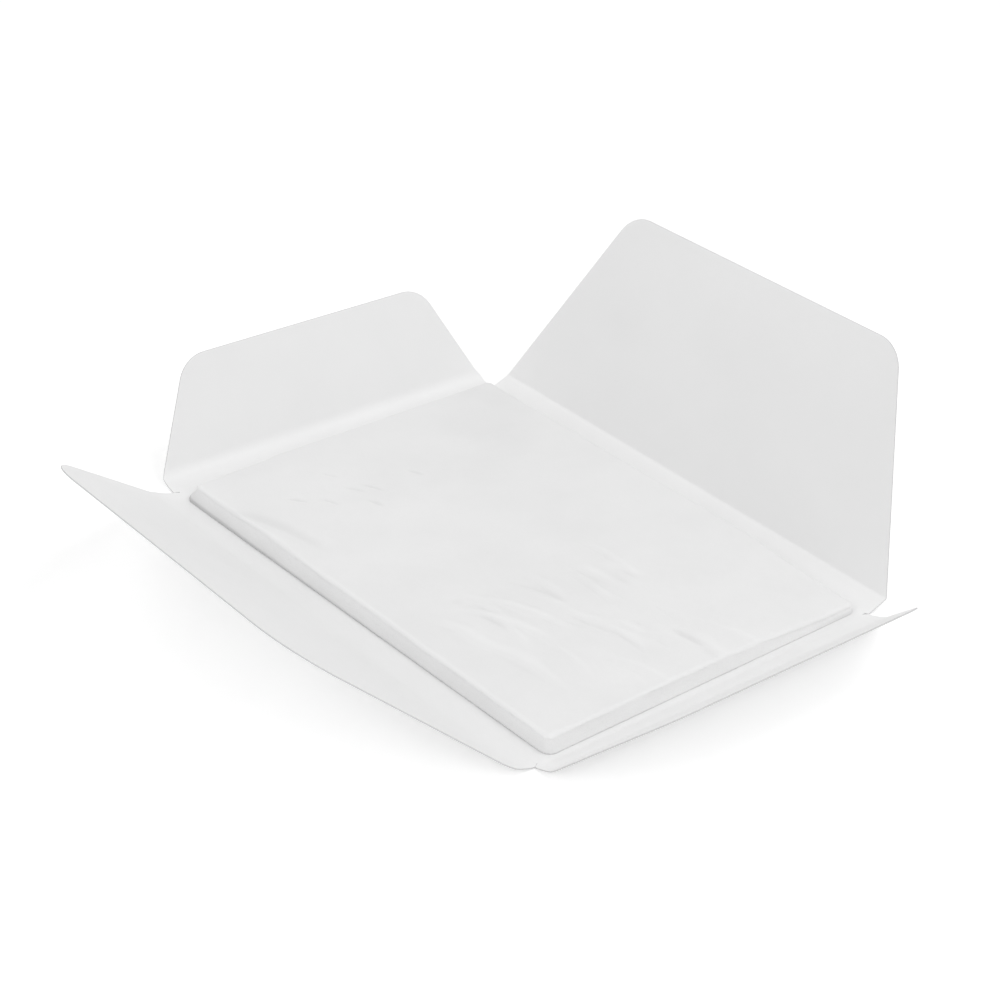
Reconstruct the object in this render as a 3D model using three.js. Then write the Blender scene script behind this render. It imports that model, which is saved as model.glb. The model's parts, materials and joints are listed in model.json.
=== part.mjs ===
// Wet palette in a four-flap folder: a creased sheet folder that holds a water-soaked sponge pad
// with one damp membrane sheet on top, on which paint is mixed. The folder lies open.
//
// Millimetres, +Z up. The origin is the middle of the base panel's underside, on the table.
// X runs along the long side of the folder and Y along its short side. The front is -Y.
import * as THREE from "three";

// ---- driving dimensions ----

// The pad: an A5 membrane sheet on a sponge of the same outline.
const PAD_LENGTH = 210;
const PAD_WIDTH = 148;
const PAD_CORNER_RADIUS = 2.5;
const SPONGE_THICKNESS = 6.8;
const SPONGE_EDGE_ROUND = 0.9;
const MEMBRANE_THICKNESS = 0.3;
const PAD_SHIFT = 2; // the loose pad lies this far towards +X of the folder's middle

// The folder's sheet, and its clearances.
const CARD = 0.5; // sheet thickness
const END_CLEARANCE = 4.5; // base panel past the pad, at each short end
const SIDE_CLEARANCE = 5.5; // base panel past the pad, along each long side
const CREASE_CLEARANCE = 0.05; // between two panels folded square to each other
const NOTCH_CLEARANCE = 0.15; // between neighbouring spine strips, with both upright
const STACK_GAP = 0.05; // between pieces that lie on each other
const FOLD_GAP = 0.2; // between folded layers, with the folder closed

// The flaps: depth from the fold line, slant of the two side edges, and corner rounding.
const END_FLAP_DEPTH = 44;
const FRONT_FLAP_DEPTH = 82;
const BACK_FLAP_DEPTH = 86;
const END_FLAP_SLANT = 26;
const SIDE_FLAP_SLANT = 23;
const FLAP_CORNER_RADIUS = 14.5;
const FRONT_FLAP_CORNER_RADIUS = 30;

// How far each strip and flap stands up from the table, in degrees, as the folder lies open.
const LEFT_TILT = { spine: 14, flap: 68 };
const RIGHT_TILT = { spine: 20, flap: 43 };
const FRONT_TILT = { spine: 18, flap: 39 };
const BACK_TILT = { spine: 21, flap: 68 };

const ARC_STEPS = 12; // straight steps in each rounded corner, an even number
const EDGE_STEPS = 3; // straight steps across the sponge's rounded edges

// ---- sizes that follow ----

const BASE_LENGTH = PAD_LENGTH + 2 * END_CLEARANCE;
const BASE_WIDTH = PAD_WIDTH + 2 * SIDE_CLEARANCE;
const CREASE_GAP = CARD / 2 + CREASE_CLEARANCE; // from each fold line to its panels
const NOTCH_GAP = CARD / 2 + NOTCH_CLEARANCE; // from a base corner's lines to the strips' ends
const SPONGE_BOTTOM = CARD + STACK_GAP;
const MEMBRANE_BOTTOM = SPONGE_BOTTOM + SPONGE_THICKNESS + STACK_GAP;
const PAD_TOP = MEMBRANE_BOTTOM + MEMBRANE_THICKNESS;

// A spine strip is as wide as the stack that its flap closes over: the pad, then the flaps that
// fold in before it. The two end flaps go first, then the front flap, and the back flap is last.
const spineWidth = (layer) => PAD_TOP + FOLD_GAP + layer * (CARD + FOLD_GAP);

// ---- materials ----

const folderMaterial = new THREE.MeshStandardMaterial({
  color: 0xf2f2f1,
  roughness: 0.55,
  metalness: 0,
});
const spongeMaterial = new THREE.MeshStandardMaterial({
  color: 0xe4e4e2,
  roughness: 0.9,
  metalness: 0,
});
const membraneMaterial = new THREE.MeshStandardMaterial({
  color: 0xf0f0ee,
  roughness: 0.35,
  metalness: 0,
});

// ---- shape helpers ----

// A closed outline through the corners, given in order anticlockwise, each [x, y, radius].
function roundedOutline(corners) {
  const points = corners.map(([x, y]) => new THREE.Vector2(x, y));
  const shape = new THREE.Shape();
  corners.forEach(([, , radius], i) => {
    const corner = points[i];
    const before = points[(i + points.length - 1) % points.length].clone().sub(corner).normalize();
    const after = points[(i + 1) % points.length].clone().sub(corner).normalize();
    const half = Math.acos(before.dot(after)) / 2;
    const start = corner.clone().addScaledVector(before, radius / Math.tan(half));
    if (i === 0) shape.moveTo(start.x, start.y);
    else shape.lineTo(start.x, start.y);
    if (radius === 0) return;
    const inward = before.clone().add(after).normalize();
    const centre = corner.clone().addScaledVector(inward, radius / Math.sin(half));
    const end = corner.clone().addScaledVector(after, radius / Math.tan(half));
    const startAngle = Math.atan2(start.y - centre.y, start.x - centre.x);
    const endAngle = Math.atan2(end.y - centre.y, end.x - centre.x);
    shape.absarc(centre.x, centre.y, radius, startAngle, endAngle, false);
  });
  shape.closePath();
  return shape;
}

function rectangle(lowX, highX, lowY, highY, radius = 0) {
  return roundedOutline([
    [lowX, lowY, radius],
    [highX, lowY, radius],
    [highX, highY, radius],
    [lowX, highY, radius],
  ]);
}

function plate(name, outline, thickness, material) {
  const geometry = new THREE.ExtrudeGeometry(outline, {
    depth: thickness,
    bevelEnabled: false,
    curveSegments: ARC_STEPS / 2,
  });
  const mesh = new THREE.Mesh(geometry, material);
  mesh.name = name;
  return mesh;
}

// ---- the pieces ----

function makeBasePanel() {
  const halfLength = BASE_LENGTH / 2 - CREASE_GAP;
  const halfWidth = BASE_WIDTH / 2 - CREASE_GAP;
  const outline = rectangle(-halfLength, halfLength, -halfWidth, halfWidth);
  return plate("base_panel", outline, CARD, folderMaterial);
}

// One wing: a spine strip hinged to the base panel, and a flap hinged to the strip. It is built
// lying flat along +Y from its fold line on the X axis, halfway up the sheet, then turned up.
function makeWing(wing) {
  const { name, foldLength, distance, heading, layer, depth, slant, cornerRadius, tilt } = wing;
  const halfFold = foldLength / 2 - NOTCH_GAP;
  const width = spineWidth(layer);

  const stripOutline = rectangle(-halfFold, halfFold, CREASE_GAP, width - CREASE_GAP);
  const strip = plate(`${name}_spine`, stripOutline, CARD, folderMaterial);
  strip.position.z = -CARD / 2;

  const slope = Math.tan(THREE.MathUtils.degToRad(slant));
  const tipHalf = halfFold - depth * slope;
  const rootHalf = halfFold - CREASE_GAP * slope;
  const flapOutline = roundedOutline([
    [-rootHalf, CREASE_GAP, 0],
    [rootHalf, CREASE_GAP, 0],
    [tipHalf, depth, cornerRadius],
    [-tipHalf, depth, cornerRadius],
  ]);
  const flap = plate(`${name}_flap`, flapOutline, CARD, folderMaterial);
  flap.position.z = -CARD / 2;

  const flapFold = new THREE.Group();
  flapFold.position.y = width;
  flapFold.rotation.x = THREE.MathUtils.degToRad(tilt.flap - tilt.spine);
  flapFold.add(flap);

  const spineFold = new THREE.Group();
  spineFold.position.y = distance;
  spineFold.rotation.x = THREE.MathUtils.degToRad(tilt.spine);
  spineFold.add(strip, flapFold);

  const group = new THREE.Group();
  group.position.z = CARD / 2;
  group.rotation.z = THREE.MathUtils.degToRad(heading);
  group.add(spineFold);
  return group;
}

// The sponge is an upright slab whose top and bottom edges are rounded a little.
function makeSponge() {
  const inset = SPONGE_EDGE_ROUND;
  const outline = rectangle(
    -PAD_LENGTH / 2 + inset,
    PAD_LENGTH / 2 - inset,
    -PAD_WIDTH / 2 + inset,
    PAD_WIDTH / 2 - inset,
    PAD_CORNER_RADIUS - inset,
  );
  const geometry = new THREE.ExtrudeGeometry(outline, {
    depth: SPONGE_THICKNESS - 2 * SPONGE_EDGE_ROUND,
    bevelThickness: SPONGE_EDGE_ROUND,
    bevelSize: SPONGE_EDGE_ROUND,
    bevelSegments: EDGE_STEPS,
    curveSegments: ARC_STEPS / 2,
  });
  const sponge = new THREE.Mesh(geometry, spongeMaterial);
  sponge.name = "sponge_pad";
  sponge.position.set(PAD_SHIFT, 0, SPONGE_BOTTOM + SPONGE_EDGE_ROUND);
  return sponge;
}

function makeMembrane() {
  const outline = rectangle(
    -PAD_LENGTH / 2,
    PAD_LENGTH / 2,
    -PAD_WIDTH / 2,
    PAD_WIDTH / 2,
    PAD_CORNER_RADIUS,
  );
  const membrane = plate("membrane_sheet", outline, MEMBRANE_THICKNESS, membraneMaterial);
  membrane.position.set(PAD_SHIFT, 0, MEMBRANE_BOTTOM);
  return membrane;
}

// ---- assembly ----

const endWing = {
  foldLength: BASE_WIDTH,
  distance: BASE_LENGTH / 2,
  layer: 0,
  depth: END_FLAP_DEPTH,
  slant: END_FLAP_SLANT,
  cornerRadius: FLAP_CORNER_RADIUS,
};
const sideWing = {
  foldLength: BASE_LENGTH,
  distance: BASE_WIDTH / 2,
  slant: SIDE_FLAP_SLANT,
};

const palette = new THREE.Group();
palette.add(
  makeBasePanel(),
  makeWing({ ...endWing, name: "left", heading: 90, tilt: LEFT_TILT }),
  makeWing({ ...endWing, name: "right", heading: -90, tilt: RIGHT_TILT }),
  makeWing({
    ...sideWing,
    name: "front",
    heading: 180,
    layer: 1,
    depth: FRONT_FLAP_DEPTH,
    cornerRadius: FRONT_FLAP_CORNER_RADIUS,
    tilt: FRONT_TILT,
  }),
  makeWing({
    ...sideWing,
    name: "back",
    heading: 0,
    layer: 2,
    depth: BACK_FLAP_DEPTH,
    cornerRadius: FLAP_CORNER_RADIUS,
    tilt: BACK_TILT,
  }),
  makeSponge(),
  makeMembrane(),
);

export default palette;
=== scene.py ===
# Looks of the wet palette: a creased sheet folder lying open, with a soft water-holding pad on it
# and a damp, rippled sheet on the pad. Metres, in the CAD's frame: X along the folder's long side,
# Y across it, Z up, and the origin in the middle of the folder's underside.
import json
import math
import random

import bmesh
import bpy
import numpy as np
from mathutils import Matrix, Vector, noise


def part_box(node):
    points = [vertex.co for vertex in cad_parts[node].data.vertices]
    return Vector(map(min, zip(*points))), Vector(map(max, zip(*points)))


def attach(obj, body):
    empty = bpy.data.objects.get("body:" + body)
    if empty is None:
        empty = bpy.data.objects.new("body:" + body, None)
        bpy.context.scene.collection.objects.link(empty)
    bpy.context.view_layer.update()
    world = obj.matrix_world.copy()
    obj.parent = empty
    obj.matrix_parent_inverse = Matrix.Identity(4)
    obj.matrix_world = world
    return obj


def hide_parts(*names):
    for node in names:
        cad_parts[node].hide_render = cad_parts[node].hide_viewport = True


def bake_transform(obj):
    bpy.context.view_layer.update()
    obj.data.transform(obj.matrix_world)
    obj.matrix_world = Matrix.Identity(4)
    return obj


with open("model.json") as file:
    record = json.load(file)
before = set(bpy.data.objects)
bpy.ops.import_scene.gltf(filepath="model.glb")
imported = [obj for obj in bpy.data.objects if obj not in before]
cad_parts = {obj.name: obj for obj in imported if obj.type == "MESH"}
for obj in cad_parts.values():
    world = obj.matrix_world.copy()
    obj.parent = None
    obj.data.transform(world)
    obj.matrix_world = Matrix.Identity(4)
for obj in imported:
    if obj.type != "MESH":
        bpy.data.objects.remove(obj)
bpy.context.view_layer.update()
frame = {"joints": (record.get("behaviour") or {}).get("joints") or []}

MM = 0.001
JOINTS = {joint["name"]: joint for joint in frame["joints"]}

base_low, base_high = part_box("base_panel")
CARD = base_high.z - base_low.z  # the folder sheet's thickness

# ---- measures that repeat the CAD model's, which are in its source only ----

CREASE_GAP = 0.3 * MM  # from a fold line to the edge of the CAD panel beside it
NOTCH_GAP = 0.4 * MM  # from a base corner's fold lines to the ends of the spine strips
END_FLAP_SLANT = math.radians(26)
SIDE_FLAP_SLANT = math.radians(23)
FLAP_CORNER_RADIUS = 14.5 * MM
FRONT_FLAP_CORNER_RADIUS = 30 * MM
PAD_CORNER_RADIUS = 2.5 * MM

# ---- the folder's sheet, as it looks ----

SHEET_SPACING = 3 * MM  # between the rows and the columns of its meshes
EDGE_SOFTENING = 0.12 * MM  # bevel of the cut edges
SHEET_WAVE = 0.05 * MM  # how far a flap strays from flat
SHEET_WAVE_LENGTH = 60 * MM
SCORE_DEPTH = 0.07 * MM  # taken from each face in the middle of the sharpest crease
SCORE_REACH = 0.32 * MM  # how far from the fold line that groove fades out
BEND_ROWS = 12  # steps of the mesh round a crease
CORNER_ROWS = 16  # steps of the mesh round a flap's corner
WEAR_SHARES = (0.15, 0.95)  # between these shares of a crease's reach its whitening fades out

# How far from its two fold lines, at the base and at the flap, a side's creases bend the sheet, and
# how much they whiten it. The front side's creases are gentle curves, and the left flap's nearly so.
LEFT_CREASES = (1.2 * MM, 4.2 * MM, 0.3)
RIGHT_CREASES = (1.6 * MM, 2.6 * MM, 0.1)
FRONT_CREASES = (2.4 * MM, 5.6 * MM, 0.0)
BACK_CREASES = (0.9 * MM, 0.9 * MM, 0.6)

# The two sides beside each side of the folder.
NEIGHBOURS = {
    "left": ("front", "back"),
    "right": ("front", "back"),
    "front": ("left", "right"),
    "back": ("left", "right"),
}

# ---- the pad and its damp sheet, as they look ----

PAD_TURN = math.radians(0.8)  # the loose pad lies a little askew in the folder
PAD_MOVE = Vector((-0.6, 0.8)) * MM
SHEET_SHRINK = 0.7 * MM  # what the ripples take from the sheet's length, at each end
MEMBRANE_MIDDLE = 7.25 * MM  # usual height of the sheet's middle surface
TOP_LIMIT = 7.7 * MM  # the sheet's middle surface stays under the shut flaps
LEFT_DROOP = 1.2 * MM  # how much lower the pad's thinner corners are
RIGHT_DROOP = 3.2 * MM
DROOP_REACH = 66 * MM
RIM_RADIUS = 2.0 * MM  # the sheet bends down over the sponge's edge
RIM_OVERHANG = 0.3 * MM  # how far the sheet's edge stays inside the full quarter circle
RIM_BULGE = 0.05 * MM  # its cut edge is a little rounded
RIM_SAG = 0.04 * MM
RIM_SHRINK = 0.0035  # its edge wanders in by this share of its distance from the middle, or twice it
HIGHLIGHT_EDGE = 2.6 * MM  # how far in from the sheet's edge its painted highlight reaches, along the front and right rim
MEMBRANE_SPACING = 0.9 * MM  # between the lines of the sheet's mesh
RIPPLE_HEIGHT = 0.12 * MM  # broad ripples all over the sheet
RIPPLE_LENGTH = 45 * MM
PUCKER_HEIGHT = 0.05 * MM  # and fine ones
PUCKER_LENGTH = 12 * MM
RUMPLE_HEIGHT = 0.17 * MM  # slanted ripples in its right half
RUMPLE_LENGTH = 17 * MM
SPONGE_SPACING = 2.2 * MM  # between the lines of the sponge's mesh, from above
SPONGE_LEVELS = 18  # steps of the mesh down its sides
SPONGE_INSET = 0.8 * MM  # from the sheet's outline to the sponge's top
SPONGE_UNDER_SHEET = 0.26 * MM  # from the sheet's middle surface down to the sponge
SPONGE_BULGE = 0.25 * MM  # how far its sides stand out from its top
SPONGE_SLACK = 0.3 * MM  # how far they bow in and out
SPONGE_SLACK_LENGTH = 26 * MM
SPONGE_CELLS = 0.07 * MM  # how far its cells roughen them
SPONGE_CELL_LENGTH = 1.6 * MM
SPONGE_FLARE = 1.5 * MM  # the soaked sponge spreads at its foot
SPONGE_LEFT_FLARE = 3.9 * MM  # and more so along its front side, towards the left corner
SPONGE_FOOT = 1.6 * MM  # how far its bottom edge curls in under the spread side
SPONGE_FOOT_HEIGHT = 2.2 * MM
SPONGE_SHADE_HEIGHT = 2.5 * MM  # how high the painted shade at the foot of its front side reaches, most at the left

# ---- the studio ----

FLOOR_HALF = 6.0
FLOOR_STEPS = 8
FLOOR_DROP = 0.02 * MM  # the floor lies just under the folder
FLOOR_GLOW = 0.185  # its own light, which keeps the shadows on it pale
ROOM_LIGHT = 0.53
LOW_LIGHTS = {0: 4.7, 90: 3.6, 180: 4.35, 270: 5.3}  # azimuth in degrees: power in watts
LOW_ELEVATION = 35  # degrees
LOW_DISTANCE = 2.0
LOW_SIZE = 1.0
HIGH_LIGHTS = {"back": (45, 2.95), "front": (270, 1.2)}  # azimuth in degrees, power in watts
HIGH_ELEVATION = 62  # degrees
HIGH_DISTANCE = 1.3
HIGH_SIZE = 0.8
CAMERA_AZIMUTH = math.radians(-40.55)
CAMERA_ELEVATION = math.radians(29.98)
CAMERA_ROLL = math.radians(2.818)
CAMERA_DISTANCE = 906.3 * MM
CAMERA_TARGET = Vector((-32.86 * MM, 21.82 * MM, 0))
SENSOR_WIDTH = 36.0  # millimetres, as the focal length is
FOCAL_LENGTH = 83.66


# ---- helpers: numbers and meshes ----


def smooth(value, low, high):
    """0 up to low, 1 from high, and a smooth step between them."""
    t = min(max((value - low) / (high - low), 0.0), 1.0)
    return t * t * (3 - 2 * t)


def soft_noise(x, y, wavelength, seed):
    """Smooth noise from -1 to 1 over the plane."""
    return noise.noise(Vector((x / wavelength, y / wavelength, seed * 7.31)))


def make_object(
    name, vertices, faces, materials, face_materials=None, sharp_angle=35, attributes=None
):
    """A mesh object whose faces look out, smooth except at edges sharper than sharp_angle.

    attributes holds lists of numbers, one for each vertex, that its material reads by name.
    """
    mesh = bpy.data.meshes.new(name)
    mesh.from_pydata([tuple(v) for v in vertices], [], faces)
    for material in materials:
        mesh.materials.append(material)
    if face_materials is not None:
        mesh.polygons.foreach_set("material_index", face_materials)
    for attribute_name, values in (attributes or {}).items():
        mesh.attributes.new(attribute_name, "FLOAT", "POINT").data.foreach_set("value", values)
    work = bmesh.new()
    work.from_mesh(mesh)
    bmesh.ops.remove_doubles(work, verts=work.verts, dist=1e-7)
    bmesh.ops.recalc_face_normals(work, faces=work.faces)
    work.to_mesh(mesh)
    work.free()
    mesh.shade_smooth()
    mesh.set_sharp_from_angle(angle=math.radians(sharp_angle))
    obj = bpy.data.objects.new(name, mesh)
    bpy.context.scene.collection.objects.link(obj)
    return obj


# ---- helpers: material nodes ----


def new_material(name):
    material = bpy.data.materials.new(name)
    material.use_nodes = True
    tree = material.node_tree
    tree.nodes.clear()
    shader = tree.nodes.new("ShaderNodeBsdfPrincipled")
    output = tree.nodes.new("ShaderNodeOutputMaterial")
    tree.links.new(shader.outputs["BSDF"], output.inputs["Surface"])
    return material, tree, shader


def object_space(tree, stretch=(1, 1, 1)):
    """Object coordinates, scaled."""
    source = tree.nodes.new("ShaderNodeTexCoord")
    mapping = tree.nodes.new("ShaderNodeMapping")
    mapping.inputs["Scale"].default_value = stretch
    tree.links.new(source.outputs["Object"], mapping.inputs["Vector"])
    return mapping.outputs["Vector"]


def noise_texture(tree, vector, scale, detail=4.0, roughness=0.55, distortion=0.0):
    node = tree.nodes.new("ShaderNodeTexNoise")
    node.inputs["Scale"].default_value = scale
    node.inputs["Detail"].default_value = detail
    node.inputs["Roughness"].default_value = roughness
    node.inputs["Distortion"].default_value = distortion
    tree.links.new(vector, node.inputs["Vector"])
    return node.outputs["Fac"]


def pore_texture(tree, vector, scale):
    node = tree.nodes.new("ShaderNodeTexVoronoi")
    node.inputs["Scale"].default_value = scale
    tree.links.new(vector, node.inputs["Vector"])
    return node.outputs["Distance"]


def ramp(tree, factor, stops):
    """A colour ramp; stops are (place, colour)."""
    node = tree.nodes.new("ShaderNodeValToRGB")
    elements = node.color_ramp.elements
    while len(elements) > len(stops):
        elements.remove(elements[-1])
    while len(elements) < len(stops):
        elements.new(1.0)
    for element, (place, colour) in zip(elements, stops):
        element.position = place
        element.color = (*colour, 1)
    tree.links.new(factor, node.inputs["Fac"])
    return node.outputs["Color"]


def attribute_value(tree, name):
    """A number that the mesh stores on its vertices."""
    node = tree.nodes.new("ShaderNodeAttribute")
    node.attribute_name = name
    return node.outputs["Fac"]


def spread(tree, value, low, high, from_low=0.3, from_high=0.7):
    """A texture's value, stretched over low to high."""
    node = tree.nodes.new("ShaderNodeMapRange")
    node.inputs["From Min"].default_value = from_low
    node.inputs["From Max"].default_value = from_high
    node.inputs["To Min"].default_value = low
    node.inputs["To Max"].default_value = high
    tree.links.new(value, node.inputs["Value"])
    return node.outputs["Result"]


def mixed(tree, factor, first, second):
    """Two colours mixed by a factor that varies over the surface."""
    node = tree.nodes.new("ShaderNodeMix")
    node.data_type = "RGBA"
    tree.links.new(factor, node.inputs["Factor"])
    tree.links.new(first, node.inputs[6])
    tree.links.new(second, node.inputs[7])
    return node.outputs[2]


def bumped(tree, shader, layers):
    """Bumps stacked on each other; layers are (height, strength, distance)."""
    normal = None
    for height, strength, distance in layers:
        node = tree.nodes.new("ShaderNodeBump")
        node.inputs["Strength"].default_value = strength
        node.inputs["Distance"].default_value = distance
        tree.links.new(height, node.inputs["Height"])
        if normal is not None:
            tree.links.new(normal, node.inputs["Normal"])
        normal = node.outputs["Normal"]
    tree.links.new(normal, shader.inputs["Normal"])


def grey(value):
    return (value, value, value)


# ---- materials ----


def folder_material():
    """Satin white sheet: faint clouding, a fine leathery grain and uneven gloss."""
    material, tree, shader = new_material("folder_sheet_surface")
    space = object_space(tree)
    clouds = noise_texture(tree, space, 18, detail=3)
    grain = noise_texture(tree, space, 2600, detail=3, roughness=0.6)
    peel = noise_texture(tree, space, 420, detail=2)
    colour = ramp(tree, clouds, [(0.3, grey(0.870)), (0.7, grey(0.895))])
    tree.links.new(colour, shader.inputs["Base Color"])
    tree.links.new(spread(tree, peel, 0.42, 0.56), shader.inputs["Roughness"])
    bumped(tree, shader, [(peel, 0.12, 0.2 * MM), (grain, 0.16, 0.05 * MM)])
    return material


def crease_material():
    """The same sheet where it was scored and bent: paler and smoother along the middle of the bend."""
    material, tree, shader = new_material("folder_sheet_crease")
    space = object_space(tree)
    clouds = noise_texture(tree, space, 18, detail=3)
    grain = noise_texture(tree, space, 2600, detail=3, roughness=0.6)
    streaks = noise_texture(tree, space, 700, detail=3)
    surface = ramp(tree, clouds, [(0.3, grey(0.870)), (0.7, grey(0.895))])
    whitened = ramp(tree, streaks, [(0.35, grey(0.890)), (0.65, grey(0.920))])
    colour = mixed(tree, attribute_value(tree, "crease_wear"), surface, whitened)
    tree.links.new(colour, shader.inputs["Base Color"])
    tree.links.new(spread(tree, streaks, 0.36, 0.52), shader.inputs["Roughness"])
    bumped(tree, shader, [(streaks, 0.1, 0.1 * MM), (grain, 0.14, 0.05 * MM)])
    return material


def shaded_cut_edge_material():
    """The sheet's cut edge: duller, with the drag marks of the cutting die, and a darker grey that is
    painted shade.
    """
    material, tree, shader = new_material("folder_cut_edge_shaded")
    space = object_space(tree)
    marks = noise_texture(tree, space, 1500, detail=4, roughness=0.7)
    # painted shade: the cut edge is a darker grey than the sheet, varied by the die's drag marks
    colour = ramp(tree, marks, [(0.3, grey(0.58)), (0.7, grey(0.68))])
    tree.links.new(colour, shader.inputs["Base Color"])
    tree.links.new(spread(tree, marks, 0.6, 0.8), shader.inputs["Roughness"])
    bumped(tree, shader, [(marks, 0.3, 0.05 * MM)])
    return material


def sponge_material():
    """Fine-celled white sponge, damp: small dark pores in a paler skin, and painted shade at the foot
    of its sides.
    """
    material, tree, shader = new_material("sponge_cells")
    space = object_space(tree)
    cells = pore_texture(tree, space, 2100)
    large_cells = pore_texture(tree, space, 700)
    clouds = noise_texture(tree, space, 60, detail=4)
    pores = ramp(tree, cells, [(0.12, grey(0.80)), (0.45, grey(0.87))])
    skin = ramp(tree, clouds, [(0.3, grey(0.875)), (0.7, grey(0.90))])
    share = spread(tree, cells, 0.4, 1.0, 0.2, 0.5)
    damp = mixed(tree, share, pores, skin)
    # painted shade: a dark grey for the foot of the sides, mixed in by a number stored on each vertex
    painted_dark = ramp(tree, clouds, [(0.3, grey(0.50)), (0.7, grey(0.58))])
    colour = mixed(tree, attribute_value(tree, "painted_shade"), damp, painted_dark)
    tree.links.new(colour, shader.inputs["Base Color"])
    tree.links.new(spread(tree, clouds, 0.6, 0.8), shader.inputs["Roughness"])
    bumped(tree, shader, [(large_cells, 0.15, 0.2 * MM), (cells, 0.2, 0.1 * MM)])
    return material


def membrane_material():
    """Damp white paper: matted fibres, cloudy wetness, a soft shine where it is wetter, and painted
    highlight on its ridges and rim and painted shade in its hollows.
    """
    material, tree, shader = new_material("damp_paper")
    space = object_space(tree)
    along = object_space(tree, (1, 4.5, 1))
    across = object_space(tree, (4.5, 1, 1))
    wetness_and_painted_light = noise_texture(tree, space, 38, detail=5, roughness=0.6)
    fibres_along = noise_texture(tree, along, 900, detail=5, roughness=0.6, distortion=0.6)
    fibres_across = noise_texture(tree, across, 900, detail=5, roughness=0.6, distortion=0.6)
    flecks = noise_texture(tree, space, 1700, detail=3, roughness=0.7)
    paper = ramp(tree, flecks, [(0.3, grey(0.850)), (0.7, grey(0.870))])
    wet = ramp(tree, fibres_along, [(0.3, grey(0.830)), (0.7, grey(0.850))])
    damp = mixed(tree, spread(tree, wetness_and_painted_light, 0.0, 1.0, 0.35, 0.65), paper, wet)
    # painted shade for the sheet's grooves and hollows (darker grey), and painted highlight for its
    # ridges and rim (paler grey)
    painted_dark = ramp(tree, flecks, [(0.3, grey(0.760)), (0.7, grey(0.785))])
    painted_pale = ramp(tree, flecks, [(0.3, grey(0.895)), (0.7, grey(0.920))])
    colour = mixed(tree, attribute_value(tree, "painted_shade"), damp, painted_dark)
    colour = mixed(tree, attribute_value(tree, "painted_highlight"), colour, painted_pale)
    tree.links.new(colour, shader.inputs["Base Color"])
    tree.links.new(spread(tree, wetness_and_painted_light, 0.5, 0.3), shader.inputs["Roughness"])
    layers = [
        (fibres_along, 0.14, 0.08 * MM),
        (fibres_across, 0.14, 0.08 * MM),
        (flecks, 0.1, 0.05 * MM),
    ]
    bumped(tree, shader, layers)
    return material


def floor_material():
    """Plain pale studio floor with the faintest unevenness."""
    material, tree, shader = new_material("studio_floor")
    space = object_space(tree)
    clouds = noise_texture(tree, space, 3, detail=2)
    colour = ramp(tree, clouds, [(0.3, grey(0.965)), (0.7, grey(0.975))])
    tree.links.new(colour, shader.inputs["Base Color"])
    shader.inputs["Roughness"].default_value = 0.9
    shader.inputs["Specular IOR Level"].default_value = 0.0
    tree.links.new(colour, shader.inputs["Emission Color"])
    shader.inputs["Emission Strength"].default_value = FLOOR_GLOW
    return material


# ---- the folder ----


class Wing:
    """What one side's spine strip and flap need: fold lines, directions and sizes, from the CAD."""

    def __init__(self, side, slant, corner_radius, base_bend, flap_bend, whitening):
        spine_joint = JOINTS[f"{side}_spine_fold"]
        flap_joint = JOINTS[f"{side}_flap_fold"]
        self.side = side
        self.slope = math.tan(slant)
        self.slant = slant
        self.corner_radius = corner_radius
        self.base_bend = base_bend
        self.flap_bend = flap_bend
        self.whitening = whitening
        self.base_fold = Vector(spine_joint["pos_m"])
        self.flap_fold = Vector(flap_joint["pos_m"])
        self.along = Vector(spine_joint["axis"])
        self.outward = Vector((self.base_fold.x, self.base_fold.y, 0)).normalized()
        self.strip_way = (self.flap_fold - self.base_fold).normalized()
        low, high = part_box(f"{side}_flap")
        from_fold = (low + high) / 2 - self.flap_fold
        from_fold -= self.along * from_fold.dot(self.along)
        self.flap_way = from_fold.normalized()
        self.strip_width = (self.flap_fold - self.base_fold).length
        self.flap_depth = 2 * from_fold.length - CREASE_GAP
        low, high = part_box(f"{side}_spine")
        self.strip_half = abs((high - low).dot(self.along)) / 2
        self.fold_half = self.strip_half + NOTCH_GAP
        self.columns = round(2 * self.strip_half / SHEET_SPACING)

    def flap_half(self, distance):
        """Half the flap's length at a distance from its fold line, before its corners are rounded."""
        return self.strip_half - distance * self.slope


class Row:
    """One row of a sheet's middle surface: its middle, its normal, and how far it reaches.

    half goes to the start of the softened edge, and rim_half, from rim_middle, to the cut edge.
    thin is how much is taken from each face there.
    """

    def __init__(self, middle, normal, half, rim_half=None, rim_middle=None, thin=0.0):
        self.middle = middle
        self.normal = normal
        self.half = half
        self.rim_half = rim_half if rim_half is not None else half + EDGE_SOFTENING
        self.rim_middle = rim_middle if rim_middle is not None else middle
        self.thin = thin


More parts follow.
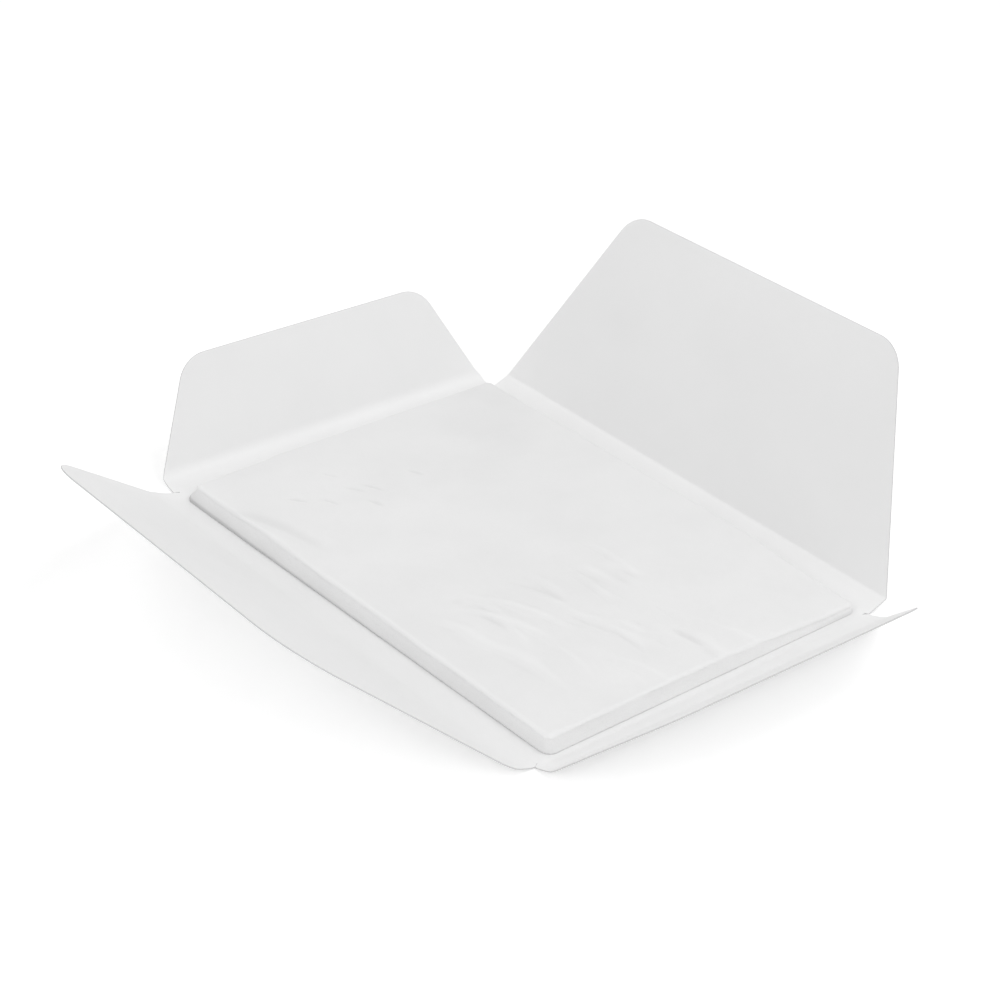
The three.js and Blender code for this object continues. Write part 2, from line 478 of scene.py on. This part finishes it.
def sheet_solid(name, rows, along, columns, materials, tip=None, wave_seed=None):
    """A thin closed solid through rows of the sheet's middle surface.

    Its two ends across the rows have softened cut edges. The first row is left square, because
    the next piece of sheet joins on there, and so is the last one, unless tip gives the middle of
    a free outer edge.
    """
    vertices = []
    faces = []
    face_materials = []
    shares = [-1 + 2 * i / (columns - 1) for i in range(columns)]
    wave_way = (rows[-1].middle - rows[0].middle).normalized()

    def add_loop(row, edge_only):
        cut = CARD / 2 - EDGE_SOFTENING
        full = cut if edge_only else CARD / 2 - row.thin
        top = []
        bottom = []
        for share in shares:
            place = row.middle + along * (row.half * share)
            stray = 0.0
            if wave_seed is not None:
                reach = smooth((place - rows[0].middle).dot(wave_way), 0, SHEET_WAVE_LENGTH / 3)
                u = place.dot(along)
                v = place.dot(wave_way)
                stray = SHEET_WAVE * reach * soft_noise(u, v, SHEET_WAVE_LENGTH, wave_seed)
            place = place + row.normal * stray
            top.append(place + row.normal * full)
            bottom.append(place - row.normal * full)
        left = row.rim_middle - along * row.rim_half
        right = row.rim_middle + along * row.rim_half
        vertices.extend([left + row.normal * cut, *top, right + row.normal * cut])
        vertices.extend([right - row.normal * cut, *reversed(bottom), left - row.normal * cut])

    for row in rows:
        add_loop(row, False)
    loops = len(rows)
    if tip is not None:
        last = rows[-1]
        add_loop(Row(tip, last.normal, last.half, last.half, tip), True)
        loops += 1

    count = 2 * columns + 4  # vertices in a loop: its top, its bottom and two on each cut edge
    cut_places = {0, columns, columns + 1, columns + 2, count - 2, count - 1}
    for j in range(loops - 1):
        for i in range(count):
            a = j * count + i
            b = j * count + (i + 1) % count
            faces.append((a, b, b + count, a + count))
            at_tip = tip is not None and j == loops - 2
            face_materials.append(1 if i in cut_places or at_tip else 0)
    for j in (0, loops - 1):
        for i in range(columns + 1):
            a = j * count + i
            b = j * count + count - 1 - i
            faces.append((a, a + 1, b - 1, b))
            face_materials.append(1)
    return make_object(name, vertices, faces, materials, face_materials)


def bend_rows(fold, way_in, way_out, reach, half_in, half_out, score_depth):
    """Rows round a fold: the bend touches both flat panels at reach from the fold line."""
    angle = way_in.angle(way_out)
    radius = reach / math.tan(angle / 2)
    inside = (way_out - way_in * math.cos(angle)).normalized()
    start = fold - way_in * reach
    centre = start + inside * radius
    rows = []
    for k in range(BEND_ROWS + 1):
        share = k / BEND_ROWS
        turn = angle * share
        middle = centre - inside * (radius * math.cos(turn)) + way_in * (radius * math.sin(turn))
        normal = inside * math.cos(turn) - way_in * math.sin(turn)
        signed = (2 * share - 1) * reach
        half = half_in(-signed) if signed < 0 else half_out(signed)
        thin = score_depth * math.exp(-((signed / SCORE_REACH) ** 2))
        rows.append(Row(middle, normal, half - EDGE_SOFTENING, thin=thin))
    return rows


def add_wear(obj, fold, along, reach, most):
    """How much the bend has whitened the sheet, as a number on each vertex."""
    low, high = (share * reach for share in WEAR_SHARES)
    wear = obj.data.attributes.new("crease_wear", "FLOAT", "POINT")
    values = []
    for vertex in obj.data.vertices:
        away = vertex.co - fold
        away -= along * away.dot(along)
        values.append(most * (1 - smooth(away.length, low, high)))
    wear.data.foreach_set("value", values)


def make_crease(wing, name, fold, ways, reach, halves, materials):
    """A bent strip of sheet between two panels."""
    rows = bend_rows(fold, *ways, reach, *halves, SCORE_DEPTH * wing.whitening)
    crease = sheet_solid(name, rows, wing.along, wing.columns, materials)
    add_wear(crease, fold, wing.along, reach, wing.whitening)
    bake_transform(crease)


def make_base_crease(wing, wings, materials):
    """Between the base panel and a spine strip. It is mitred where the next side's crease meets it."""
    mitre = max(wings[side].base_bend for side in NEIGHBOURS[wing.side]) / wing.base_bend

    def base_half(away):
        return wing.fold_half - max(away * mitre, NOTCH_GAP)

    make_crease(
        wing,
        f"{wing.side}_spine_crease",
        wing.base_fold,
        (wing.outward, wing.strip_way),
        wing.base_bend,
        (base_half, lambda away: wing.strip_half),
        materials,
    )


def make_flap_crease(wing, materials):
    """Between a spine strip and its flap."""
    make_crease(
        wing,
        f"{wing.side}_flap_crease",
        wing.flap_fold,
        (wing.strip_way, wing.flap_way),
        wing.flap_bend,
        (lambda away: wing.strip_half, wing.flap_half),
        materials,
    )


def make_base(wings, material, cut_edge):
    """The base panel reaches to where each of its four creases starts to bend."""
    left, right, front, back = (wings[side] for side in ("left", "right", "front", "back"))
    low_x = left.base_fold.x + left.base_bend
    high_x = right.base_fold.x - right.base_bend
    low_y = front.base_fold.y + front.base_bend
    high_y = back.base_fold.y - back.base_bend
    along = Vector((1, 0, 0))
    up = Vector((0, 0, 1))
    rows = []
    row_count = 41
    column_count = 55
    for j in range(row_count):
        y = low_y + (high_y - low_y) * j / (row_count - 1)
        middle = Vector(((low_x + high_x) / 2, y, CARD / 2))
        rows.append(Row(middle, up, (high_x - low_x) / 2, (high_x - low_x) / 2))
    base = sheet_solid("folder_base", rows, along, column_count, [material, cut_edge])
    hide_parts("base_panel")
    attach(base, "base")


def make_strip(wing, material, cut_edge):
    """A spine strip, from the end of its base crease to the start of its flap crease."""
    normal = wing.strip_way.cross(wing.along)
    if normal.z < 0:
        normal = -normal
    rows = []
    start = wing.base_bend
    end = wing.strip_width - wing.flap_bend
    row_count = 7
    for j in range(row_count):
        distance = start + (end - start) * j / (row_count - 1)
        middle = wing.base_fold + wing.strip_way * distance
        rows.append(Row(middle, normal, wing.strip_half - EDGE_SOFTENING))
    name = f"{wing.side}_spine_panel"
    strip = sheet_solid(name, rows, wing.along, wing.columns, [material, cut_edge])
    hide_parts(f"{wing.side}_spine")
    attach(strip, f"{wing.side}_strip")


def flap_rows(wing, normal):
    """Rows from the crease to the flap's outer edge, closer together round its corners."""
    radius = wing.corner_radius
    inner_radius = radius - EDGE_SOFTENING
    centre_far = wing.flap_depth - radius
    centre_side = wing.flap_half(centre_far) - radius / math.cos(wing.slant)
    straight_end = centre_far + radius * math.sin(wing.slant)
    rows = []
    straight_rows = max(6, round((straight_end - wing.flap_bend) / SHEET_SPACING))
    for j in range(straight_rows):
        distance = wing.flap_bend + (straight_end - wing.flap_bend) * j / straight_rows
        middle = wing.flap_fold + wing.flap_way * distance
        half = wing.flap_half(distance)
        inner = half - EDGE_SOFTENING / math.cos(wing.slant)
        rows.append(Row(middle, normal, inner, half, middle))
    for j in range(CORNER_ROWS + 1):
        turn = wing.slant + (math.pi / 2 - wing.slant) * j / CORNER_ROWS
        inner_far = centre_far + inner_radius * math.sin(turn)
        outer_far = centre_far + radius * math.sin(turn)
        middle = wing.flap_fold + wing.flap_way * inner_far
        rim_middle = wing.flap_fold + wing.flap_way * outer_far
        inner = centre_side + inner_radius * math.cos(turn)
        outer = centre_side + radius * math.cos(turn)
        rows.append(Row(middle, normal, inner, outer, rim_middle))
    return rows


def make_flap(wing, material, cut_edge, seed):
    """A tapered flap with two rounded corners, slightly wavy."""
    normal = wing.flap_way.cross(wing.along)
    if normal.dot(-wing.outward) < 0:
        normal = -normal
    rows = flap_rows(wing, normal)
    tip = wing.flap_fold + wing.flap_way * wing.flap_depth
    name = f"{wing.side}_flap_panel"
    flap = sheet_solid(name, rows, wing.along, wing.columns, [material, cut_edge], tip, seed)
    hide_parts(f"{wing.side}_flap")
    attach(flap, f"{wing.side}_wing")


def make_folder():
    material = folder_material()
    crease = crease_material()
    cut_edge = shaded_cut_edge_material()
    wings = {
        "left": Wing("left", END_FLAP_SLANT, FLAP_CORNER_RADIUS, *LEFT_CREASES),
        "right": Wing("right", END_FLAP_SLANT, FLAP_CORNER_RADIUS, *RIGHT_CREASES),
        "front": Wing("front", SIDE_FLAP_SLANT, FRONT_FLAP_CORNER_RADIUS, *FRONT_CREASES),
        "back": Wing("back", SIDE_FLAP_SLANT, FLAP_CORNER_RADIUS, *BACK_CREASES),
    }
    make_base(wings, material, cut_edge)
    for seed, wing in enumerate(wings.values()):
        make_strip(wing, material, cut_edge)
        make_flap(wing, material, cut_edge, seed + 1)
        make_base_crease(wing, wings, [crease, cut_edge])
        make_flap_crease(wing, [crease, cut_edge])


# ---- the pad: places on it are in its own frame, x along it and y across it, from its middle ----


class Wrinkle:
    """One raised fold of the damp sheet with the dip beside it or, if it is low, the opposite."""

    END_WIDTH = 0.55  # of its full width
    DIP_AWAY = 1.7  # widths
    DIP_SHARE = 0.6  # of its height

    def __init__(self, x, y, turn, length, width, height):
        self.x = x
        self.y = y
        self.way = (math.cos(turn), math.sin(turn))
        self.length = length
        self.width = width
        self.height = height
        self.bow = length / 12

    def at(self, x, y):
        """Its height at a place on the sheet."""
        dx = x - self.x
        dy = y - self.y
        share = 2 * (dx * self.way[0] + dy * self.way[1]) / self.length
        inside = 1 - share**2
        if inside <= 0:
            return 0.0
        width = self.width * (self.END_WIDTH + (1 - self.END_WIDTH) * inside)
        across = (dy * self.way[0] - dx * self.way[1] + self.bow * share**2) / width
        ridge = math.exp(-(across**2))
        dip = math.exp(-((across + self.DIP_AWAY) ** 2))
        return self.height * inside**1.5 * (ridge - self.DIP_SHARE * dip)


def scattered_wrinkles(rng, patch, count, turns, lengths, widths, heights):
    """Wrinkles strewn over a patch of the sheet, given as (x, y, reach in x, reach in y)."""
    x, y, reach_x, reach_y = patch
    made = []
    for _ in range(count):
        made.append(
            Wrinkle(
                x + reach_x * rng.uniform(-1, 1),
                y + reach_y * rng.uniform(-1, 1),
                math.radians(rng.uniform(*turns)),
                rng.uniform(*lengths),
                rng.uniform(*widths),
                rng.uniform(*heights),
            )
        )
    return made


def sheet_wrinkles():
    """Long ridges and grooves lie in the sheet's right half, short grooves in its left half, and
    faint wrinkles across its middle. A wide slump lies by the front edge, and so does a dimple.
    """
    rng = random.Random(11)
    ridges = scattered_wrinkles(
        rng,
        patch=(64 * MM, -18 * MM, 34 * MM, 42 * MM),
        count=26,
        turns=(-6, 20),
        lengths=(24 * MM, 52 * MM),
        widths=(1.3 * MM, 2.6 * MM),
        heights=(0.2 * MM, 0.46 * MM),
    )
    right_grooves = scattered_wrinkles(
        rng,
        patch=(54 * MM, -14 * MM, 34 * MM, 26 * MM),
        count=12,
        turns=(2, 24),
        lengths=(16 * MM, 34 * MM),
        widths=(1.1 * MM, 2.2 * MM),
        heights=(-0.36 * MM, -0.18 * MM),
    )
    left_grooves = scattered_wrinkles(
        rng,
        patch=(-68 * MM, -24 * MM, 18 * MM, 27 * MM),
        count=7,
        turns=(14, 40),
        lengths=(10 * MM, 16 * MM),
        widths=(0.9 * MM, 1.3 * MM),
        heights=(-0.42 * MM, -0.24 * MM),
    )
    faint_ones = scattered_wrinkles(
        rng,
        patch=(30 * MM, 10 * MM, 60 * MM, 40 * MM),
        count=12,
        turns=(0, 35),
        lengths=(10 * MM, 22 * MM),
        widths=(1.2 * MM, 2.4 * MM),
        heights=(-0.18 * MM, 0.18 * MM),
    )
    slump = Wrinkle(-56 * MM, -66 * MM, math.radians(14), 70 * MM, 3.8 * MM, -0.42 * MM)
    dimple = Wrinkle(22 * MM, -46 * MM, math.radians(20), 9 * MM, 3.0 * MM, -0.25 * MM)
    return [*ridges, *right_grooves, *left_grooves, *faint_ones, slump, dimple]


class PadShape:
    """The height of the damp sheet's middle surface, and the size of its outline."""

    def __init__(self):
        low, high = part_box("membrane_sheet")
        self.middle = (low + high) / 2
        self.middle.xy += PAD_MOVE
        self.half_x = (high.x - low.x) / 2 - SHEET_SHRINK
        self.half_y = (high.y - low.y) / 2
        self.wrinkles = sheet_wrinkles()

    def inside_by(self, x, y):
        """How far a place lies inside the sheet's rounded outline."""
        qx = abs(x) - (self.half_x - PAD_CORNER_RADIUS)
        qy = abs(y) - (self.half_y - PAD_CORNER_RADIUS)
        outside = math.hypot(max(qx, 0), max(qy, 0)) + min(max(qx, qy), 0)
        return PAD_CORNER_RADIUS - outside

    def droop(self, x, y):
        """The pad is thinner towards its left corner and, more so, its right one."""
        to_right = math.hypot(self.half_x - x, (self.half_y - y) * 0.8)
        to_left = math.hypot(self.half_x + x, self.half_y + y)
        right = RIGHT_DROOP * (1 - smooth(to_right, 0, DROOP_REACH))
        left = LEFT_DROOP * (1 - smooth(to_left, 0, DROOP_REACH * 0.8))
        return right + left

    def relief(self, x, y):
        """How far the sheet's ripples and wrinkles lift it, or sink it."""
        relief = RIPPLE_HEIGHT * soft_noise(x, y, RIPPLE_LENGTH, 3)
        relief += PUCKER_HEIGHT * soft_noise(x, y, PUCKER_LENGTH, 4)
        rumpled = smooth(x, -10 * MM, 45 * MM)
        relief += RUMPLE_HEIGHT * rumpled * soft_noise(x - y / 2, 2.4 * y, RUMPLE_LENGTH, 12)
        relief += sum(wrinkle.at(x, y) for wrinkle in self.wrinkles)
        ceiling = TOP_LIMIT - MEMBRANE_MIDDLE
        return ceiling * math.tanh(relief / ceiling) if relief > 0 else relief

    def height(self, x, y, relief):
        """The sheet's height, with its edge bent down over the sponge."""
        level = MEMBRANE_MIDDLE - self.droop(x, y) + relief
        scallop = soft_noise(x, y, 9 * MM, 5)
        radius = RIM_RADIUS * (1 + 0.25 * scallop)
        depth = max(self.inside_by(x, y), 0) + RIM_OVERHANG
        if depth < radius:
            level -= radius - math.sqrt(radius**2 - (radius - depth) ** 2)
        return level

    def place(self, x, y, z):
        """A place on the pad, turned and moved into the frame."""
        cos, sin = math.cos(PAD_TURN), math.sin(PAD_TURN)
        return Vector((self.middle.x + x * cos - y * sin, self.middle.y + x * sin + y * cos, z))


def axis_places(half, spacing, edge_steps):
    """Places from -half to half: edge_steps in from both ends, and evenly between them."""
    inner = half - edge_steps[-1]
    count = max(2, round(2 * inner / spacing))
    middle = [-inner + 2 * inner * i / count for i in range(count + 1)]
    left = [-half + step for step in edge_steps[:-1]]
    return left + middle + [-x for x in reversed(left)]


def rounded_place(x, y, half_x, half_y, radius):
    """A place in a rectangle, moved so that the rectangle's corners become round."""
    core_x = max(-(half_x - radius), min(half_x - radius, x))
    core_y = max(-(half_y - radius), min(half_y - radius, y))
    dx, dy = x - core_x, y - core_y
    reach = math.hypot(dx, dy)
    if reach < 1e-9 or dx == 0 or dy == 0:
        return x, y
    scale = max(abs(dx), abs(dy)) / reach
    return core_x + dx * scale, core_y + dy * scale


def grid_faces(columns, rows, offset, flipped):
    """Quads of a grid whose vertices are numbered row by row from offset."""
    faces = []
    for j in range(rows - 1):
        for i in range(columns - 1):
            a = offset + j * columns + i
            face = (a, a + 1, a + columns + 1, a + columns)
            faces.append(face[::-1] if flipped else face)
    return faces


def border_indices(columns, rows):
    """The grid's border, once round."""
    front = list(range(columns))
    right = [j * columns + columns - 1 for j in range(1, rows)]
    back = [(rows - 1) * columns + i for i in range(columns - 2, -1, -1)]
    left = [j * columns for j in range(rows - 2, 0, -1)]
    return front + right + back + left


def ring_faces(first, second):
    """Quads between two rings of vertex numbers."""
    count = len(first)
    return [
        (first[i], first[(i + 1) % count], second[(i + 1) % count], second[i])
        for i in range(count)
    ]


def rim_reach(x, y, shape):
    """How far in from its edge the sheet's painted highlight reaches: most along the front, least at
    the back.
    """
    front = smooth(-y, 0.9 * shape.half_y, shape.half_y) * (0.35 + 0.65 * smooth(x, -40 * MM, 0))
    right = 0.4 * smooth(x, 0.97 * shape.half_x, shape.half_x)
    return HIGHLIGHT_EDGE * max(front, right) * (1 + 0.5 * soft_noise(x, y, 12 * MM, 9))


def painted_light_at(x, y, relief, shape):
    """How much painted highlight and painted shade the sheet takes at a place, each from 0 to 1.

    Painted highlight lies along its rim and where it lifts off the sponge; painted shade lies where it
    sinks onto it.
    """
    reach = rim_reach(x, y, shape)
    rim = 1 - smooth(shape.inside_by(x, y), 0.4 * reach, reach) if reach > 0.2 * MM else 0.0
    # painted highlight along the rim and on lifted ridges; the second number is painted shade in the
    # hollows
    painted_pale = max(0.35 * rim, 0.5 * smooth(relief, 0.08 * MM, 0.4 * MM))
    return painted_pale, 0.8 * smooth(-relief, 0.06 * MM, 0.45 * MM)


def membrane_grid(shape):
    """The sheet's middle surface as a grid of places, and its painted highlight and painted shade at
    each.
    """
    steps = [s * MM for s in (0, 0.25, 0.5, 0.8, 1.1, 1.5, 2.0, 2.6, 3.4)]
    xs = axis_places(shape.half_x, MEMBRANE_SPACING, steps)
    ys = axis_places(shape.half_y, MEMBRANE_SPACING, steps)
    middle = np.zeros((len(ys), len(xs), 3))
    wetness_and_painted_light = np.zeros((len(ys), len(xs), 2))
    for j, y in enumerate(ys):
        for i, x in enumerate(xs):
            px, py = rounded_place(x, y, shape.half_x, shape.half_y, PAD_CORNER_RADIUS)
            edge = 1 - smooth(shape.inside_by(px, py), 0, 5 * MM)
            wander = 1 - RIM_SHRINK * edge * (1 + soft_noise(px, py, 14 * MM, 6))
            relief = shape.relief(px, py)
            middle[j, i] = shape.place(px * wander, py * wander, shape.height(px, py, relief))
            wetness_and_painted_light[j, i] = painted_light_at(px, py, relief, shape)
    return middle, wetness_and_painted_light


def make_membrane(shape):
    """The damp sheet: a top and a bottom grid, joined round their borders by a rounded edge."""
    low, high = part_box("membrane_sheet")
    thickness = high.z - low.z
    middle, wetness_and_painted_light = membrane_grid(shape)
    rows, columns = middle.shape[:2]
    across = np.gradient(middle, axis=1)
    deep = np.gradient(middle, axis=0)
    normal = np.cross(across, deep)
    normal /= np.linalg.norm(normal, axis=2, keepdims=True)
    top = (middle + normal * thickness / 2).reshape(-1, 3)
    bottom = (middle - normal * thickness / 2).reshape(-1, 3)
    rim = (middle - np.array((0, 0, RIM_SAG))).reshape(-1, 3)
    border = border_indices(columns, rows)
    outward = rim[border] - np.array(shape.place(0, 0, 0))
    outward[:, 2] = 0
    outward /= np.linalg.norm(outward, axis=1, keepdims=True)
    ring = rim[border] + outward * RIM_BULGE
    vertices = np.vstack([top, bottom, ring])
    size = columns * rows
    ring_numbers = [2 * size + k for k in range(len(border))]
    faces = grid_faces(columns, rows, 0, False)
    faces += grid_faces(columns, rows, size, True)
    faces += ring_faces(border, ring_numbers)
    faces += ring_faces(ring_numbers, [size + k for k in border])
    wetness_and_painted_light = wetness_and_painted_light.reshape(-1, 2)
    wetness_and_painted_light = np.vstack([wetness_and_painted_light, wetness_and_painted_light, wetness_and_painted_light[border]])
    sheet = make_object(
        "damp_sheet",
        vertices,
        faces,
        [membrane_material()],
        sharp_angle=60,
        attributes={"painted_highlight": wetness_and_painted_light[:, 0], "painted_shade": wetness_and_painted_light[:, 1]},
    )
    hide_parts("membrane_sheet")
    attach(sheet, "membrane")


class SpongeShape:
    """The sponge's outline under the sheet, how its sides spread and curl in, and where painted shade
    darkens them.
    """

    def __init__(self, pad):
        low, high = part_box("sponge_pad")
        self.bottom = low.z
        self.thickness = high.z - low.z
        self.pad = pad
        self.half_x = pad.half_x - SPONGE_INSET
        self.half_y = pad.half_y - SPONGE_INSET

    def side_way(self, x, y):
        """Which way the side faces at a place on the outline."""
        qx = abs(x) - (self.half_x - PAD_CORNER_RADIUS)
        qy = abs(y) - (self.half_y - PAD_CORNER_RADIUS)
        if qx > 0 and qy > 0:
            return Vector((math.copysign(qx, x), math.copysign(qy, y))).normalized()
        if qx > qy:
            return Vector((math.copysign(1, x), 0))
        return Vector((0, math.copysign(1, y)))

    def to_left(self, x):
        """0 at the right end and 1 at the left one."""
        return (self.half_x - x) / (2 * self.half_x)

    def flare(self, x, way):
        """How far the foot spreads."""
        return SPONGE_FLARE + SPONGE_LEFT_FLARE * max(0, -way.y) * self.to_left(x)

    def curl_in(self, x, way):
        """How far the bottom edge curls in, and from what height."""
        share = 0.16 + 0.84 * max(0, -way.y) * (0.25 + 0.75 * self.to_left(x))
        return SPONGE_FOOT * share, SPONGE_FOOT_HEIGHT * share

    def painted_shade(self, x, y, z, way):
        """How much painted shade darkens the side, from 0 to 1: a dark band at its foot, and fainter
        shade above it.
        """
        to_left = self.to_left(x)
        front = max(0, -way.y)
        right = max(0, way.x) * 0.3 * smooth(y, 0.5 * self.half_y, self.half_y)
        line = front * (0.1 + 0.9 * to_left) + right
        height = SPONGE_SHADE_HEIGHT * (0.6 + 0.4 * line)
        # painted shade: a dark band at the foot, highest and darkest along the front side towards the
        # left
        foot_shade = line * (1 - smooth(z - self.bottom, 0.3 * height, height))
        rising = 1 - smooth(z - self.bottom, 0, self.thickness)
        return max(foot_shade, front * (0.16 + 0.34 * to_left) * rising)

    def top_place(self, x, y):
        """A place on the top, just under the sheet."""
        level = self.pad.height(x, y, self.pad.relief(x, y)) - SPONGE_UNDER_SHEET
        return self.pad.place(x, y, level)

    def bottom_place(self, x, y):
        """A place on the bottom, pushed out near its edge as the foot of the side is."""
        way = self.side_way(x, y)
        near_edge = max(abs(x) / self.half_x, abs(y) / self.half_y) ** 6
        push = (SPONGE_BULGE + self.flare(x, way) - self.curl_in(x, way)[0]) * near_edge
        return self.pad.place(x + way.x * push, y + way.y * push, self.bottom)

    def side_place(self, x, y, top, share):
        """A place on the side, a share of the way down from the top's height."""
        way = self.side_way(x, y)
        z = top + (self.bottom - top) * share
        slack = SPONGE_SLACK * math.sin(math.pi * share) * soft_noise(x, y, SPONGE_SLACK_LENGTH, 7)
        cells = SPONGE_CELLS * soft_noise(x + z, y + z, SPONGE_CELL_LENGTH, 8)
        depth, height = self.curl_in(x, way)
        curl = depth * max(0, 1 - (z - self.bottom) / height) ** 2
        push = SPONGE_BULGE + self.flare(x, way) * share**1.3 + slack + cells - curl
        return self.pad.place(x + way.x * push, y + way.y * push, z)


def make_sponge(pad):
    """The sponge: a top and a bottom grid, with rings of vertices down its sides between them."""
    shape = SpongeShape(pad)
    steps = [s * MM for s in (0, 0.3, 0.7, 1.2, 2.0, 3.0)]
    xs = axis_places(shape.half_x, SPONGE_SPACING, steps)
    ys = axis_places(shape.half_y, SPONGE_SPACING, steps)
    columns, rows = len(xs), len(ys)
    size = columns * rows
    places = []
    for y in ys:
        for x in xs:
            places.append(rounded_place(x, y, shape.half_x, shape.half_y, PAD_CORNER_RADIUS))
    vertices = [shape.top_place(x, y) for x, y in places]
    vertices += [shape.bottom_place(x, y) for x, y in places]
    # painted shade for each vertex: none on the top, most at the foot of the front side
    painted_dark = [0.0] * size
    painted_dark += [shape.painted_shade(x, y, shape.bottom, shape.side_way(x, y)) for x, y in places]
    faces = grid_faces(columns, rows, 0, False)
    faces += grid_faces(columns, rows, size, True)

    border = border_indices(columns, rows)
    upper = border
    for level in range(1, SPONGE_LEVELS):
        ring = []
        for k in border:
            x, y = places[k]
            place = shape.side_place(x, y, vertices[k].z, level / SPONGE_LEVELS)
            ring.append(len(vertices))
            vertices.append(place)
            painted_dark.append(shape.painted_shade(x, y, place.z, shape.side_way(x, y)))
        faces += ring_faces(upper, ring)
        upper = ring
    faces += ring_faces(upper, [size + k for k in border])
    material = sponge_material()
    attributes = {"painted_shade": painted_dark}
    sponge = make_object("sponge_slab", vertices, faces, [material], None, 80, attributes)
    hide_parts("sponge_pad")
    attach(sponge, "sponge")


# ---- the studio ----


def make_floor():
    """A plain floor, which isn't part of the object."""
    places = [-FLOOR_HALF + 2 * FLOOR_HALF * i / FLOOR_STEPS for i in range(FLOOR_STEPS + 1)]
    vertices = [(x, y, -FLOOR_DROP) for y in places for x in places]
    faces = grid_faces(FLOOR_STEPS + 1, FLOOR_STEPS + 1, 0, False)
    floor = make_object("studio_floor", vertices, faces, [floor_material()])


def make_world(strength):
    world = bpy.data.worlds.new("studio_world")
    world.use_nodes = True
    background = world.node_tree.nodes["Background"]
    background.inputs["Color"].default_value = (1, 1, 1, 1)
    background.inputs["Strength"].default_value = strength
    bpy.context.scene.world = world


def way_from(azimuth, elevation):
    """The unit vector towards an azimuth and an elevation, in radians."""
    flat = math.cos(elevation)
    return Vector((math.cos(azimuth) * flat, math.sin(azimuth) * flat, math.sin(elevation)))


def add_softbox(name, azimuth, elevation, distance, size, power):
    """A square area light that looks at the object's middle."""
    way = way_from(math.radians(azimuth), math.radians(elevation))
    light = bpy.data.lights.new(name, "AREA")
    light.shape = "SQUARE"
    light.size = size
    light.energy = power
    lamp = bpy.data.objects.new(name, light)
    lamp.location = way * distance
    lamp.rotation_euler = way.to_track_quat("Z", "Y").to_euler()
    bpy.context.scene.collection.objects.link(lamp)


def make_lights():
    """A white room, four low softboxes round the object, and two high ones, which are nearer."""
    make_world(ROOM_LIGHT)
    for azimuth, power in LOW_LIGHTS.items():
        name = f"softbox_low_{azimuth}"
        add_softbox(name, azimuth, LOW_ELEVATION, LOW_DISTANCE, LOW_SIZE, power)
    for side, (azimuth, power) in HIGH_LIGHTS.items():
        name = f"softbox_high_{side}"
        add_softbox(name, azimuth, HIGH_ELEVATION, HIGH_DISTANCE, HIGH_SIZE, power)


def make_camera():
    """The photograph's viewing angle, from the front right, with a slight roll."""
    data = bpy.data.cameras.new("camera")
    data.sensor_width = SENSOR_WIDTH
    data.lens = FOCAL_LENGTH
    data.clip_start = 0.05
    data.clip_end = 30.0
    camera = bpy.data.objects.new("camera", data)
    back = way_from(CAMERA_AZIMUTH, CAMERA_ELEVATION)
    right = Vector((0, 0, 1)).cross(back).normalized()
    up = back.cross(right)
    rolled_right = right * math.cos(CAMERA_ROLL) + up * math.sin(CAMERA_ROLL)
    rolled_up = up * math.cos(CAMERA_ROLL) - right * math.sin(CAMERA_ROLL)
    matrix = camera.matrix_world.copy()
    for row in range(3):
        matrix[row][0] = rolled_right[row]
        matrix[row][1] = rolled_up[row]
        matrix[row][2] = back[row]
        matrix[row][3] = (CAMERA_TARGET + back * CAMERA_DISTANCE)[row]
    camera.matrix_world = matrix
    bpy.context.scene.collection.objects.link(camera)
    bpy.context.scene.camera = camera


# ---- the scene ----

make_camera()
make_folder()
pad_shape = PadShape()
make_sponge(pad_shape)
make_membrane(pad_shape)
make_floor()
make_lights()
bpy.context.scene.view_settings.view_transform = "Standard"
